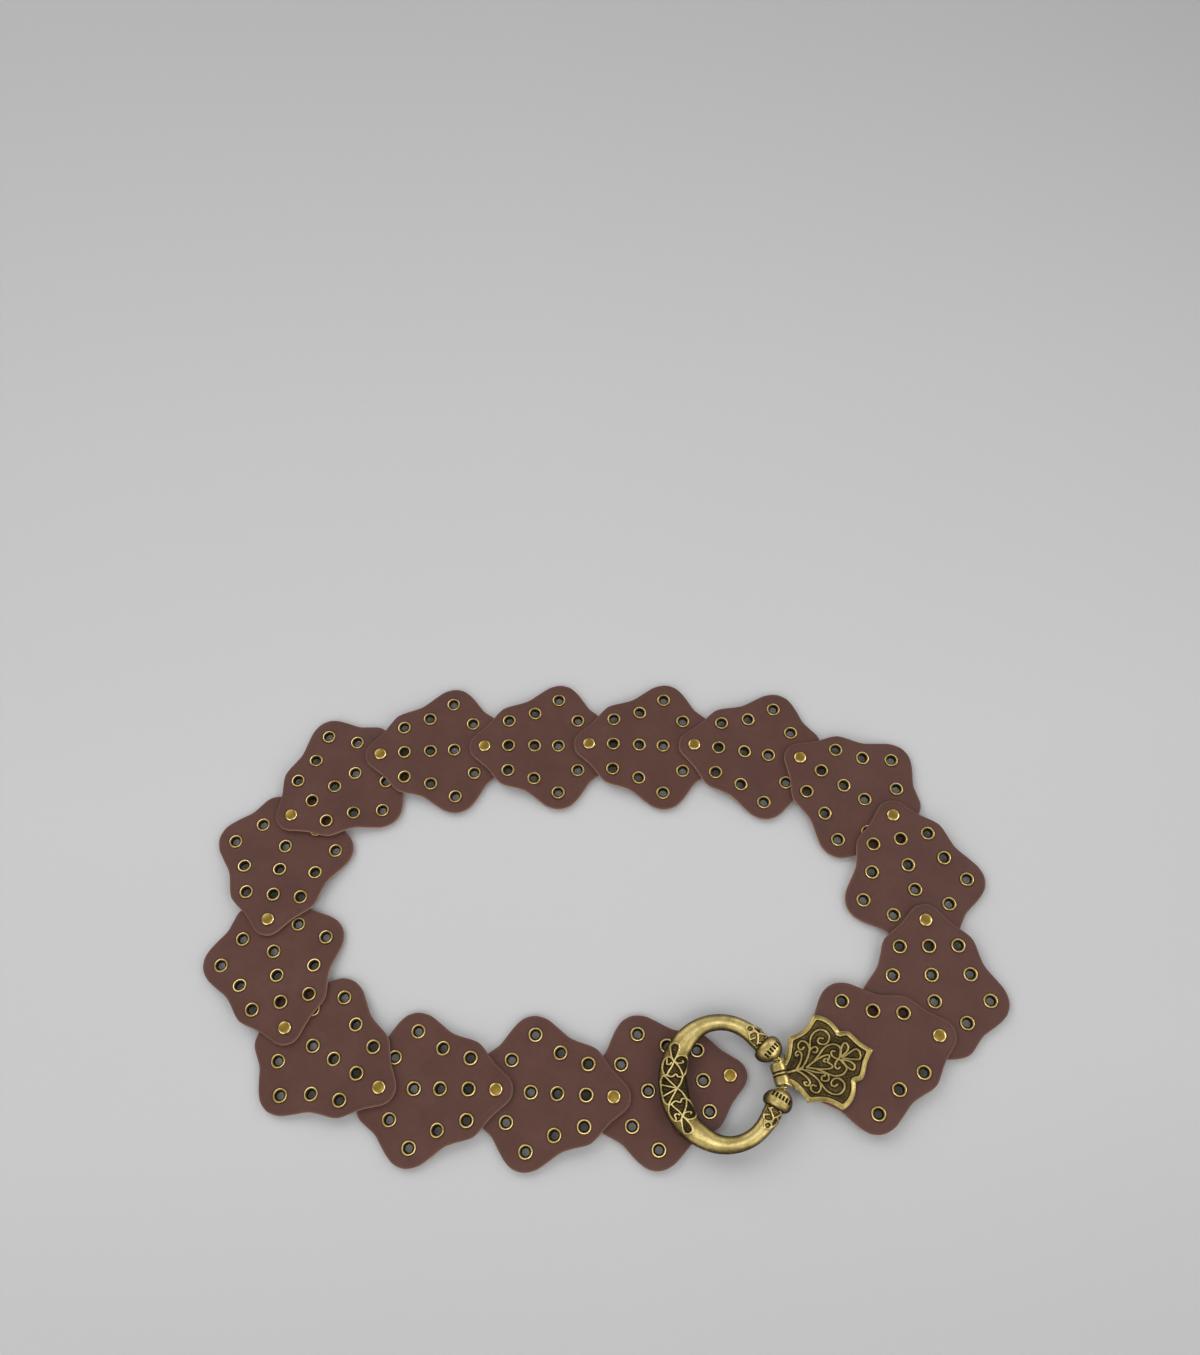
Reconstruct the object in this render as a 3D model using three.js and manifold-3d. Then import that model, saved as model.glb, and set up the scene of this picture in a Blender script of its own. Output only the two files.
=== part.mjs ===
// Grommet belt of riveted leather panels with a cast hook buckle, fastened and lying on its back.
// Millimetres, +Z up. The origin is the middle of the footprint, on the surface that the belt lies on.

import * as THREE from 'three';
import { mergeVertices } from 'three/addons/utils/BufferGeometryUtils.js';
import Module from 'manifold-3d';

const wasm = await Module();
wasm.setup();

// Driving dimensions of the strap
const pitch = 60;              // from one rivet to the next
const leather = 2.0;           // thickness of a panel
const gap = 0.3;               // clearance between neighbouring pieces
const backCap = 0.6;           // thickness of a rivet's back cap
const lowLevel = backCap + gap;               // underside of the leather next to the floor
const highLevel = lowLevel + leather + gap;   // underside of a tip that lies on the next panel
const stepStart = 20;          // the step from high to low, along the panel from its rivet
const stepEnd = 32;
const holeRadius = 2.75;       // seat of an eyelet's barrel
const holeSides = 8;

// Half outline of a panel from its tip to its wide end
const panelOutline = [
  { along: -8.4, half: 2.4 },
  { along: -6.4, half: 6.0 },
  { along: -3.0, half: 9.1 },
  { along: 2.0, half: 13.7 },
  { along: 8.0, half: 21.2 },
  { along: 12.0, half: 24.0 },
  { along: stepStart, half: 26.3 },
  { along: 25.0, half: 28.4 },
  { along: stepEnd, half: 33.7 },
  { along: 37.0, half: 37.0 },
  { along: 43.0, half: 38.4 },
  { along: 48.5, half: 37.0 },
  { along: 52.5, half: 33.7 },
  { along: 56.0, half: 29.0 },
  { along: 60.0, half: 23.0 },
  { along: 64.0, half: 19.6 },
  { along: 68.8, half: 15.6 },
  { along: 70.9, half: 11.0 },
  { along: 71.5, half: 5.0 },
];

// Eyelets of a panel: one in the middle where aside is 0, otherwise one on each side
const eyeletRows = [
  { along: 13.9, aside: 0, onBuckle: false },
  { along: 13.9, aside: 15.25, onBuckle: true },
  { along: 28.6, aside: 0, onBuckle: false },
  { along: 28.6, aside: 20.1, onBuckle: true },
  { along: 42.3, aside: 0, onBuckle: false },
  { along: 42.4, aside: 28.65, onBuckle: true },
  { along: 53.5, aside: 15.3, onBuckle: false },
];
const hookEyelet = 28.6;       // the middle eyelet that holds the hook post

// Direction of each panel seen from above, from the fastening panel round the waist to the buckle
const panels = [
  { letter: 'a', heading: -175.1 },
  { letter: 'b', heading: 171.2 },
  { letter: 'c', heading: 173.6 },
  { letter: 'd', heading: 144.7 },
  { letter: 'e', heading: 100.0 },
  { letter: 'f', heading: 78.8 },
  { letter: 'g', heading: 32.2 },
  { letter: 'h', heading: -1.3 },
  { letter: 'i', heading: -4.7 },
  { letter: 'j', heading: -6.7 },
  { letter: 'k', heading: -13.7 },
  { letter: 'l', heading: -41.0 },
  { letter: 'm', heading: -84.3 },
  { letter: 'n', heading: -94.8 },
  { letter: 'o', heading: -171.4 },
];

// Driving dimensions of the rivets
const shankRadius = 1.5;
const rivetHoleRadius = 2.0;
const rivetHoleSides = 6;
const capRadius = 3.5;
const capHeight = 1.3;
const rivetSides = 8;

// Driving dimensions of the buckle
const castLevel = highLevel + leather + gap;  // underside of the shield plate
const plateAside = -1.2;       // the plate's middle line on the buckle panel
const plateGround = 1.2;       // thickness of the sunken ground
const plateRim = 2.3;          // height of the raised rim
const plateRelief = 1.9;       // height of the raised scrolls
const hingeAlong = 84.3;       // hinge line, along the buckle panel
const hingeLevel = 7.0;        // height of the hinge line and of the ring's middle plane
const knuckleRadius = 3.9;
const boreRadius = 2.4;
const barRadius = 1.5;         // hinge bar between the ring's knobs
const barHalf = 9;             // half its length, into the knobs
const knuckleHalf = 5.0;       // half its width
const stripFrom = 78;          // start of the strip that leads to the knuckle
const stripThickness = 1.6;
const platePosts = [           // where the plate's two posts pass through the leather
  { along: 60, aside: plateAside - 11 },
  { along: 60, aside: plateAside + 11 },
];
const postHead = 3.0;          // radius of a post's peened head
const ringTurn = -6.0;         // the ring's turn on its loose hinge
const ringReach = 27.2;        // from the hinge line to the ring's centre
const postRadius = 1.7;        // hook post behind the ring's ornament

// Half outline of the shield plate, in the buckle panel's measure
const plateOutline = [
  { along: 35.0, half: 0 },
  { along: 38.0, half: 2.8 },
  { along: 40.6, half: 6.0 },
  { along: 43.2, half: 10.4 },
  { along: 45.0, half: 12.2 },
  { along: 48.7, half: 12.8 },
  { along: 49.2, half: 14.6 },
  { along: 51.4, half: 19.0 },
  { along: 55.0, half: 22.3 },
  { along: 59.2, half: 24.1 },
  { along: 63.0, half: 20.4 },
  { along: 67.2, half: 17.9 },
  { along: 74.9, half: 16.3 },
  { along: 76.6, half: 12.0 },
  { along: 78.8, half: 7.8 },
  { along: 80.8, half: 5.6 },
];

// The ring by its angle from the middle of the ornament
const ringStations = [
  { angle: 0, outer: 33.8, inner: 19.2, halfHeight: 3.3 },
  { angle: 14, outer: 33.9, inner: 19.8, halfHeight: 3.3 },
  { angle: 26, outer: 34.0, inner: 20.6, halfHeight: 3.3 },
  { angle: 36, outer: 34.0, inner: 21.5, halfHeight: 3.4 },
  { angle: 46, outer: 34.0, inner: 22.5, halfHeight: 3.5 },
  { angle: 60, outer: 34.0, inner: 23.7, halfHeight: 3.6 },
  { angle: 75, outer: 33.9, inner: 25.1, halfHeight: 3.7 },
  { angle: 90, outer: 33.4, inner: 25.3, halfHeight: 3.7 },
  { angle: 105, outer: 32.7, inner: 24.6, halfHeight: 3.7 },
  { angle: 120, outer: 31.9, inner: 23.3, halfHeight: 3.8 },
  { angle: 133, outer: 31.5, inner: 22.0, halfHeight: 4.0 },
  { angle: 142.5, outer: 31.5, inner: 21.4, halfHeight: 4.2 },
  { angle: 144.5, outer: 33.3, inner: 20.2, halfHeight: 5.6 },
  { angle: 150, outer: 34.2, inner: 19.4, halfHeight: 6.5 },
  { angle: 156, outer: 33.9, inner: 19.5, halfHeight: 6.5 },
  { angle: 161, outer: 32.2, inner: 21.0, halfHeight: 5.4 },
  { angle: 164.5, outer: 29.4, inner: 23.6, halfHeight: 3.0 },
];
const ringSides = 8;

// Finishes
const brownLeather = { color: 0x5f443c, roughness: 0.62, metalness: 0 };
const antiqueBrass = { color: 0x8f7a3c, roughness: 0.38, metalness: 1 };

const radians = THREE.MathUtils.degToRad;

// Closed mesh from corner points and faces of corner numbers
function closedGeometry(corners, faces) {
  const geometry = new THREE.BufferGeometry();
  geometry.setAttribute('position', new THREE.Float32BufferAttribute(corners.flat(), 3));
  geometry.setIndex(faces.flat());
  return geometry;
}

function toSolid(geometry) {
  const bare = geometry.clone();
  for (const extra of ['normal', 'uv']) bare.deleteAttribute(extra);
  const merged = mergeVertices(bare, 1e-4);
  const triangles = merged.index.array;
  const kept = [];
  for (let i = 0; i < triangles.length; i += 3) {
    const [a, b, c] = triangles.slice(i, i + 3);
    if (a !== b && b !== c && c !== a) kept.push(a, b, c);
  }
  return new wasm.Manifold(new wasm.Mesh({
    numProp: 3,
    vertProperties: new Float32Array(merged.attributes.position.array),
    triVerts: new Uint32Array(kept),
  }));
}

function fromSolid(solid) {
  const mesh = solid.getMesh();
  const geometry = new THREE.BufferGeometry();
  geometry.setAttribute('position', new THREE.BufferAttribute(new Float32Array(mesh.vertProperties), 3));
  geometry.setIndex(new THREE.BufferAttribute(new Uint32Array(mesh.triVerts), 1));
  return geometry;
}

function pieceMesh(name, geometry, finish) {
  geometry.computeVertexNormals();
  const mesh = new THREE.Mesh(geometry, new THREE.MeshStandardMaterial(finish));
  mesh.name = name;
  return mesh;
}

// Loop of outline points, anticlockwise, from the rows of a half outline
function fullOutline(rows, middle = 0) {
  const right = rows.map((row) => new THREE.Vector2(row.along, middle - row.half));
  const left = rows.filter((row) => row.half > 0)
    .map((row) => new THREE.Vector2(row.along, middle + row.half));
  return [...right, ...left.reverse()];
}

function holeLoop(along, aside, radius, sides) {
  const loop = [];
  for (let i = 0; i < sides; i += 1) {
    const turn = ((i + 0.5) * 2 * Math.PI) / sides;
    loop.push(new THREE.Vector2(along + radius * Math.cos(turn), aside + radius * Math.sin(turn)));
  }
  return loop;
}

// Leather plate in three flat stretches: the tip's level, the step and the wide end's level
function panelGeometry(tipLevel, endLevel, holes) {
  const count = panelOutline.length;
  const outline = fullOutline(panelOutline);
  const plan = [...outline];
  const starts = holes.map((hole) => plan.push(...hole.loop) - hole.loop.length);
  const levelAt = (along) => THREE.MathUtils.mapLinear(
    THREE.MathUtils.clamp(along, stepStart, stepEnd), stepStart, stepEnd, tipLevel, endLevel);
  const low = plan.map((p) => [p.x, p.y, levelAt(p.x)]);
  const high = plan.map((p) => [p.x, p.y, levelAt(p.x) + leather]);
  const lift = plan.length;
  const faces = [];

  const rowAt = (along) => panelOutline.findIndex((row) => row.along === along);
  const cuts = [0, rowAt(stepStart), rowAt(stepEnd), count - 1];
  for (let zone = 0; zone + 1 < cuts.length; zone += 1) {
    const [from, to] = [cuts[zone], cuts[zone + 1]];
    const right = Array.from({ length: to - from + 1 }, (_, i) => from + i);
    const border = [...right, ...right.map((i) => 2 * count - 1 - i).reverse()];
    const inside = holes.flatMap((hole, i) => (
      hole.along > panelOutline[from].along && hole.along < panelOutline[to].along ? [i] : []));
    const rings = inside.map((i) => holes[i].loop.map((_, k) => starts[i] + k));
    const corners = [...border, ...rings.flat()];
    const pick = (numbers) => numbers.map((i) => plan[i]);
    for (const face of THREE.ShapeUtils.triangulateShape(pick(border), rings.map(pick))) {
      let [a, b, c] = face.map((i) => corners[i]);
      if (THREE.ShapeUtils.area([plan[a], plan[b], plan[c]]) < 0) [b, c] = [c, b];
      faces.push([a + lift, b + lift, c + lift], [a, c, b]);
    }
  }
  const wall = (loop) => loop.forEach((a, i) => {
    const b = loop[(i + 1) % loop.length];
    faces.push([a, b, b + lift], [a, b + lift, a + lift]);
  });
  wall(outline.map((_, i) => i));
  holes.forEach((hole, i) => wall(hole.loop.map((_, k) => starts[i] + k).reverse()));
  return closedGeometry([...low, ...high], faces);
}

function panelHoles(isBuckle) {
  const holes = eyeletRows.filter((row) => !isBuckle || row.onBuckle).flatMap((row) => {
    const sides = row.aside === 0 ? [0] : [-row.aside, row.aside];
    return sides.map((aside) => ({
      along: row.along,
      loop: holeLoop(row.along, aside, holeRadius, holeSides),
    }));
  });
  const endSpots = isBuckle ? platePosts : [{ along: pitch, aside: 0 }];
  for (const { along, aside } of [{ along: 0, aside: 0 }, ...endSpots]) {
    holes.push({ along, loop: holeLoop(along, aside, rivetHoleRadius, rivetHoleSides) });
  }
  return holes;
}

// Back cap on the floor, shank through the leather, domed cap above it
function rivetGeometry(topLevel) {
  const profile = [
    [0, 0], [capRadius, 0], [capRadius, backCap], [shankRadius, backCap],
    [shankRadius, topLevel], [capRadius, topLevel], [capRadius * 0.72, topLevel + capHeight * 0.8],
    [0, topLevel + capHeight],
  ];
  return new THREE.LatheGeometry(profile.map(([r, z]) => new THREE.Vector2(r, z)), rivetSides)
    .rotateX(Math.PI / 2);
}

function upright(radius, from, to, x, y, sides = 8) {
  return new THREE.CylinderGeometry(radius, radius, to - from, sides)
    .rotateX(Math.PI / 2).translate(x, y, (from + to) / 2);
}

// Outline moved inwards by a distance, corner by corner
function inset(loop, distance) {
  return loop.map((point, i) => {
    const before = loop[(i + loop.length - 1) % loop.length];
    const after = loop[(i + 1) % loop.length];
    const first = point.clone().sub(before).normalize();
    const second = after.clone().sub(point).normalize();
    const normal = new THREE.Vector2(-first.y - second.y, first.x + second.x).normalize();
    const reach = distance / Math.max(0.5, normal.dot(new THREE.Vector2(-first.y, first.x)));
    return point.clone().addScaledVector(normal, reach);
  });
}

// Plate with a bevelled raised rim round a sunken ground, as a stack of outlines
function shieldGeometry() {
  const outline = fullOutline(plateOutline, plateAside);
  const rimSteps = [
    { inwards: 0, height: 0 },
    { inwards: 0.2, height: plateRim - 0.7 },
    { inwards: 1.2, height: plateRim },
    { inwards: 2.5, height: plateGround },
  ];
  const count = outline.length;
  const corners = rimSteps.flatMap((step) => inset(outline, step.inwards)
    .map((p) => [p.x, p.y, castLevel + step.height]));
  const faces = [];
  for (let step = 0; step + 1 < rimSteps.length; step += 1) {
    for (let i = 0; i < count; i += 1) {
      const [a, b] = [step * count + i, step * count + ((i + 1) % count)];
      faces.push([a, b, b + count], [a, b + count, a + count]);
    }
  }
  const lastStep = (rimSteps.length - 1) * count;
  for (const [a, b, c] of THREE.ShapeUtils.triangulateShape(outline, [])) faces.push([a, c, b]);
  const ground = inset(outline, rimSteps.at(-1).inwards);
  for (const face of THREE.ShapeUtils.triangulateShape(ground, [])) faces.push(face.map((i) => i + lastStep));
  return closedGeometry(corners, faces);
}

// Raised line of the plate's scrollwork, three-sided, along a list of points
function reliefLine(points, width) {
  const corners = [];
  const faces = [];
  const foot = castLevel + plateGround - reliefSeat;
  points.forEach((point, i) => {
    const [before, after] = [Math.max(i - 1, 0), Math.min(i + 1, points.length - 1)];
    const ahead = points[after].clone().sub(points[before]).normalize();
    const side = new THREE.Vector2(-ahead.y, ahead.x).multiplyScalar(width / 2);
    corners.push([point.x - side.x, point.y - side.y, foot]);
    corners.push([point.x + side.x, point.y + side.y, foot]);
    corners.push([point.x, point.y, castLevel + plateRelief]);
    if (i === 0) return;
    const at = 3 * i;
    for (let k = 0; k < 3; k += 1) {
      const [a, b] = [at - 3 + k, at - 3 + ((k + 1) % 3)];
      faces.push([a, b + 3, a + 3], [a, b, b + 3]);
    }
  });
  const last = corners.length - 3;
  faces.push([0, 2, 1], [last, last + 1, last + 2]);
  return closedGeometry(corners, faces);
}

// Scrolls of the shield: a spiral about a centre, led in by a stem from the fan point
const fanPoint = { along: 76.5, aside: 0 };
const scrolls = [
  { along: 58.3, aside: 10.8, radius: 5.0, from: 20, turn: 400, tight: 0.62 },
  { along: 54.6, aside: 4.6, radius: 3.2, from: 60, turn: 330, tight: 0.6 },
  { along: 68.6, aside: 9.0, radius: 2.8, from: 0, turn: 340, tight: 0.6 },
];
const lineWidth = 1.2;
const reliefSeat = 0.3;          // depth of the relief's foot in the ground
const scrollStep = 60;           // degrees between a spiral's points

// Raised pads of the shield: the leaf and the three petals, each by its root, tip and half width
const pads = [
  { root: [70.2, 0], tip: [58.2, 0], half: 2.6 },
  { root: [52.4, 0], tip: [43.8, 0], half: 2.0 },
  { root: [51.4, 2.4], tip: [46.6, 6.8], half: 1.4 },
  { root: [51.4, -2.4], tip: [46.6, -6.8], half: 1.4 },
];

function scrollPoints(scroll, side) {
  const points = [[fanPoint.along, fanPoint.aside]];
  for (let turn = 0; turn <= scroll.turn; turn += scrollStep) {
    const radius = scroll.radius * (1 - scroll.tight * (turn / scroll.turn));
    const angle = radians(scroll.from + turn);
    points.push([scroll.along + radius * Math.cos(angle), scroll.aside + radius * Math.sin(angle)]);
  }
  return points.map(([x, y]) => new THREE.Vector2(x, plateAside + side * y));
}

function padGeometry({ root, tip, half }) {
  const [from, to] = [root, tip].map(([x, y]) => new THREE.Vector2(x, plateAside + y));
  const across = to.clone().sub(from).normalize().rotateAround(new THREE.Vector2(), Math.PI / 2);
  const beside = (share, side) => from.clone().lerp(to, share).addScaledVector(across, side * half);
  const shape = new THREE.Shape([
    from, beside(0.75, -1), beside(0.95, -0.6), to, beside(0.95, 0.6), beside(0.75, 1),
  ]);
  const depth = plateRelief - plateGround + reliefSeat;
  return new THREE.ExtrudeGeometry(shape, { depth, bevelEnabled: false })
    .translate(0, 0, castLevel + plateGround - reliefSeat);
}

function plateScrollwork() {
  const lines = scrolls.flatMap((scroll) => [-1, 1].map((side) => scrollPoints(scroll, side)));
  return [...lines.map((points) => reliefLine(points, lineWidth)), ...pads.map(padGeometry)];
}

// Rolled knuckle about the hinge line, with the strip that leads to it from the plate
function knuckleSolid() {
  const across = (radius, half) => toSolid(new THREE.CylinderGeometry(radius, radius, 2 * half, 12)
    .translate(hingeAlong, plateAside, hingeLevel));
  const strip = toSolid(new THREE.BoxGeometry(hingeAlong - stripFrom, 2 * knuckleHalf, stripThickness)
    .translate((hingeAlong + stripFrom) / 2, plateAside, castLevel + stripThickness / 2));
  return across(knuckleRadius, knuckleHalf).add(strip).subtract(across(boreRadius, knuckleHalf + 1));
}

function shieldPlateGeometry() {
  let plate = toSolid(shieldGeometry());
  for (const line of plateScrollwork()) plate = plate.add(toSolid(line));
  plate = plate.add(knuckleSolid());
  const headTop = highLevel - gap;
  for (const { along, aside } of platePosts) {
    plate = plate.add(toSolid(upright(shankRadius, headTop, castLevel + plateGround / 2, along, aside)));
    plate = plate.add(toSolid(upright(postHead, headTop - backCap, headTop, along, aside)));
  }
  return fromSolid(plate);
}

// Ring swept round its centre through mirrored stations, each an oval section
function ringSweep() {
  const half = ringStations.slice(1);
  const stations = [...half.map((s) => ({ ...s, angle: -s.angle })).reverse(), ...ringStations];
  const corners = [];
  const faces = [];
  stations.forEach((station, i) => {
    const turn = radians(station.angle);
    const middle = (station.outer + station.inner) / 2;
    const halfWidth = (station.outer - station.inner) / 2;
    for (let k = 0; k < ringSides; k += 1) {
      const around = ((k + 0.5) * 2 * Math.PI) / ringSides;
      const full = 1 / Math.cos(Math.PI / ringSides);
      const radius = middle + halfWidth * full * Math.cos(around);
      corners.push([radius * Math.cos(turn), radius * Math.sin(turn),
        hingeLevel + station.halfHeight * full * Math.sin(around)]);
      if (i === 0) continue;
      const [a, b] = [(i - 1) * ringSides + k, (i - 1) * ringSides + ((k + 1) % ringSides)];
      faces.push([a, b + ringSides, b], [a, a + ringSides, b + ringSides]);
    }
  });
  const last = (stations.length - 1) * ringSides;
  for (let k = 1; k + 1 < ringSides; k += 1) {
    faces.push([0, k, k + 1], [last, last + k + 1, last + k]);
  }
  return closedGeometry(corners, faces);
}

function buckleRingGeometry(post) {
  const bar = new THREE.CylinderGeometry(barRadius, barRadius, 2 * barHalf, 8)
    .translate(-ringReach, 0, hingeLevel);
  const ring = toSolid(ringSweep()).add(toSolid(bar))
    .add(toSolid(upright(postRadius, gap, hingeLevel, post.x, post.y)));
  return fromSolid(ring);
}

// Places of the panels: each rivet is one pitch on from the last
const belt = new THREE.Group();
const places = [];
const rivetSpot = new THREE.Vector2(0, 0);
for (const { letter, heading } of panels) {
  const turn = radians(heading);
  places.push({ letter, turn, spot: rivetSpot.clone() });
  rivetSpot.add(new THREE.Vector2(pitch * Math.cos(turn), pitch * Math.sin(turn)));
}

const place = (mesh, { spot, turn }) => {
  mesh.position.set(spot.x, spot.y, 0);
  mesh.rotation.z = turn;
  belt.add(mesh);
};

places.forEach((where, i) => {
  const [isFastening, isBuckle] = [i === 0, i === places.length - 1];
  const tipLevel = isFastening ? lowLevel : highLevel;
  const endLevel = isBuckle ? highLevel : lowLevel;
  const leatherPlate = panelGeometry(tipLevel, endLevel, panelHoles(isBuckle));
  place(pieceMesh(`panel_${where.letter}`, leatherPlate, brownLeather), where);
  const capLevel = tipLevel + leather + gap;
  place(pieceMesh(`rivet_${where.letter}`, rivetGeometry(capLevel), antiqueBrass), where);
});

const fastening = places[0];
const buckle = places.at(-1);
place(pieceMesh('shield_plate', shieldPlateGeometry(), antiqueBrass), buckle);

const fromPanel = ({ spot, turn }, along, aside) => new THREE.Vector2(along, aside)
  .rotateAround(new THREE.Vector2(), turn).add(spot);
const ringHeading = buckle.turn + radians(ringTurn);
const hinge = fromPanel(buckle, hingeAlong, plateAside);
const ringPlace = {
  turn: ringHeading,
  spot: fromPanel({ spot: hinge, turn: ringHeading }, ringReach, 0),
};
const post = fromPanel(fastening, hookEyelet, 0).sub(ringPlace.spot)
  .rotateAround(new THREE.Vector2(), -ringHeading);
place(pieceMesh('buckle_ring', buckleRingGeometry(post), antiqueBrass), ringPlace);

// The origin goes to the middle of the footprint
const box = new THREE.Box3().setFromObject(belt, true);
const middle = box.getCenter(new THREE.Vector3());
belt.position.set(-middle.x, -middle.y, -box.min.z);

export default belt;
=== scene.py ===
# Grommet belt: riveted leather panels with rolled eyelets and a cast hook buckle, fastened, lying on its back
import math
import random
import bmesh
import bpy
import numpy as np
from mathutils import Matrix, Vector, geometry, noise


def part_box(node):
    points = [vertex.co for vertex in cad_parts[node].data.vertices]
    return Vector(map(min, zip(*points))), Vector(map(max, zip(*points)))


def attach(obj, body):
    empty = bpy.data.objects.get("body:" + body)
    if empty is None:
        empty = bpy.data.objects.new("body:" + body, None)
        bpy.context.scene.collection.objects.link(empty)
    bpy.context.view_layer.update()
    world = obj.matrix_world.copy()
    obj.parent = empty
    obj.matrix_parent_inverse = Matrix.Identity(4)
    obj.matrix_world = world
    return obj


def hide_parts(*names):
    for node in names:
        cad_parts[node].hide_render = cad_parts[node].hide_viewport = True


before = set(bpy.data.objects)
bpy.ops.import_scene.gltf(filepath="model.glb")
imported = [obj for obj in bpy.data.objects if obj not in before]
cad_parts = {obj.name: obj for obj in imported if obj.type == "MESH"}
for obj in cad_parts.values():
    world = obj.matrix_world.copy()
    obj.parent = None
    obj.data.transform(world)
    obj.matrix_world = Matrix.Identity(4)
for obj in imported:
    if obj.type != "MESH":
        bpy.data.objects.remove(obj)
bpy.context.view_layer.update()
random.seed(15)
mm = 0.001  # pieces are modelled in millimetres and scaled as they are finished

# Levels above the floor, in millimetres
levels = {
    "leather": 2.0,  # thickness of a panel
    "low": 0.9,  # underside of the leather next to the floor
    "high": 3.2,  # underside of a tip that lies on the next panel
    "cast": 5.5,  # underside of the shield plate
    "hinge": 7.0,  # hinge line and the ring's middle plane
}

# Where the panels lie: each rivet's middle, and the direction from it to the next
letters = "abcdefghijklmno"
buckle = len(letters) - 1  # number of the panel that holds the buckle
buckleHeading = math.radians(-171.4)
rivetSpots = [sum(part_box("rivet_" + letter), Vector()) / 2 / mm for letter in letters]


def panelPlace(number):
    spot = rivetSpots[number]
    heading = buckleHeading
    if number < buckle:
        way = rivetSpots[number + 1] - spot
        heading = math.atan2(way.y, way.x)
    return Matrix.Translation((spot.x, spot.y, 0)) @ Matrix.Rotation(heading, 4, "Z")


# Camera

cameraForm = {
    "place": (0.01567, -0.1951, 0.6736),
    "down": 63.732,
    "roll": -5.63,
    "lens": 38.16,
}


def makeCamera(form):
    camera = bpy.data.objects.new("camera", bpy.data.cameras.new("camera"))
    bpy.context.collection.objects.link(camera)
    camera.data.sensor_fit = "HORIZONTAL"
    camera.data.sensor_width = 36
    camera.data.lens = form["lens"]
    tilt = Matrix.Rotation(math.radians(90 - form["down"]), 4, "X")
    roll = Matrix.Rotation(math.radians(form["roll"]), 4, "Z")
    camera.matrix_world = Matrix.Translation(form["place"]) @ tilt @ roll
    bpy.context.scene.camera = camera


makeCamera(cameraForm)
print("camera placed")


# Node helpers

# Each input takes a link from a socket, or a value
def setInputs(tree, node, inputs):
    for socket, value in inputs.items():
        if isinstance(value, bpy.types.NodeSocket):
            tree.links.new(value, node.inputs[socket])
        else:
            node.inputs[socket].default_value = value


def addNode(tree, kind, inputs, **settings):
    node = tree.nodes.new(kind)
    for name, value in settings.items():
        setattr(node, name, value)
    setInputs(tree, node, inputs)
    return node


# Where a point lies on its object
def objectPlace(tree):
    return addNode(tree, "ShaderNodeTexCoord", {}).outputs["Object"]


def attributeValue(tree, name):
    return addNode(tree, "ShaderNodeAttribute", {}, attribute_name=name).outputs["Fac"]


def newMaterial(name):
    material = bpy.data.materials.new(name)
    material.use_nodes = True
    tree = material.node_tree
    return material, tree, tree.nodes["Principled BSDF"]


# Group of nodes that gives a tone and a height
def newGroup(name, inputs):
    group = bpy.data.node_groups.new(name, "ShaderNodeTree")
    for kind, sockets in (("INPUT", inputs), ("OUTPUT", ("Tone", "Height"))):
        for socket in sockets:
            group.interface.new_socket(name=socket, in_out=kind, socket_type="NodeSocketFloat")
    return group, group.nodes.new("NodeGroupInput").outputs, group.nodes.new("NodeGroupOutput")


# Stops are (place, shade): a shade is a colour, or one number for a grey
def ramp(tree, factor, stops):
    node = addNode(tree, "ShaderNodeValToRGB", {"Fac": factor})
    bar = node.color_ramp
    while len(bar.elements) < len(stops):
        bar.elements.new(0.5)
    for element, (place, shade) in zip(bar.elements, stops):
        element.position = place
        element.color = (*shade, 1) if isinstance(shade, tuple) else (shade, shade, shade, 1)
    return node.outputs["Color"]


def mixColour(tree, factor, first, second, blend="MIX"):
    return addNode(tree, "ShaderNodeMix", {0: factor, 6: first, 7: second},
                   data_type="RGBA", blend_type=blend).outputs[2]


def mathNode(tree, operation, first, second):
    return addNode(tree, "ShaderNodeMath", {0: first, 1: second}, operation=operation).outputs[0]


def noiseNode(tree, scale, detail, roughness):
    return addNode(tree, "ShaderNodeTexNoise", {
        "Vector": objectPlace(tree), "Scale": scale, "Detail": detail, "Roughness": roughness}).outputs["Fac"]


def addBump(tree, shader, height, form):
    strength, depth = form
    bump = addNode(tree, "ShaderNodeBump", {"Height": height, "Strength": strength, "Distance": depth})
    setInputs(tree, shader, {"Normal": bump.outputs["Normal"]})


# Uneven cast surface: cloudy tarnish, fine pits and the brightness of what stands proud, on a relief tone
# that also holds painted highlights and shade
def makePatinaGroup():
    group, given, result = newGroup(
        "patina", ("Relief", "Cloud Size", "Cloudiness", "Pit Size", "Pitting"))
    tone = given["Relief"]
    for size, strength, detail, roughness in (
            ("Cloud Size", "Cloudiness", 5.0, 0.62), ("Pit Size", "Pitting", 3.0, 0.6)):
        spots = noiseNode(group, given[size], detail, roughness)
        uneven = mathNode(group, "MULTIPLY", mathNode(group, "SUBTRACT", spots, 0.5), given[strength])
        tone = mathNode(group, "ADD", tone, uneven)
    setInputs(group, result, {"Tone": tone, "Height": spots})
    return group


patinaGroup = makePatinaGroup()


# Metal whose colour and roughness follow the patina's tone, painted highlights and shade included; gives the
# patina's height
def addTarnish(tree, shader, look):
    patina = addNode(tree, "ShaderNodeGroup", {
        "Relief": attributeValue(tree, "relief"),
        "Cloud Size": look["cloud"][0], "Cloudiness": look["cloud"][1],
        "Pit Size": look["pits"][0], "Pitting": look["pits"][1]}, node_tree=patinaGroup).outputs
    setInputs(tree, shader, {
        "Base Color": ramp(tree, patina["Tone"], look["colours"]),
        "Roughness": ramp(tree, patina["Tone"], look["roughness"]),
        "Metallic": 1.0})
    return patina["Height"]
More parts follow.
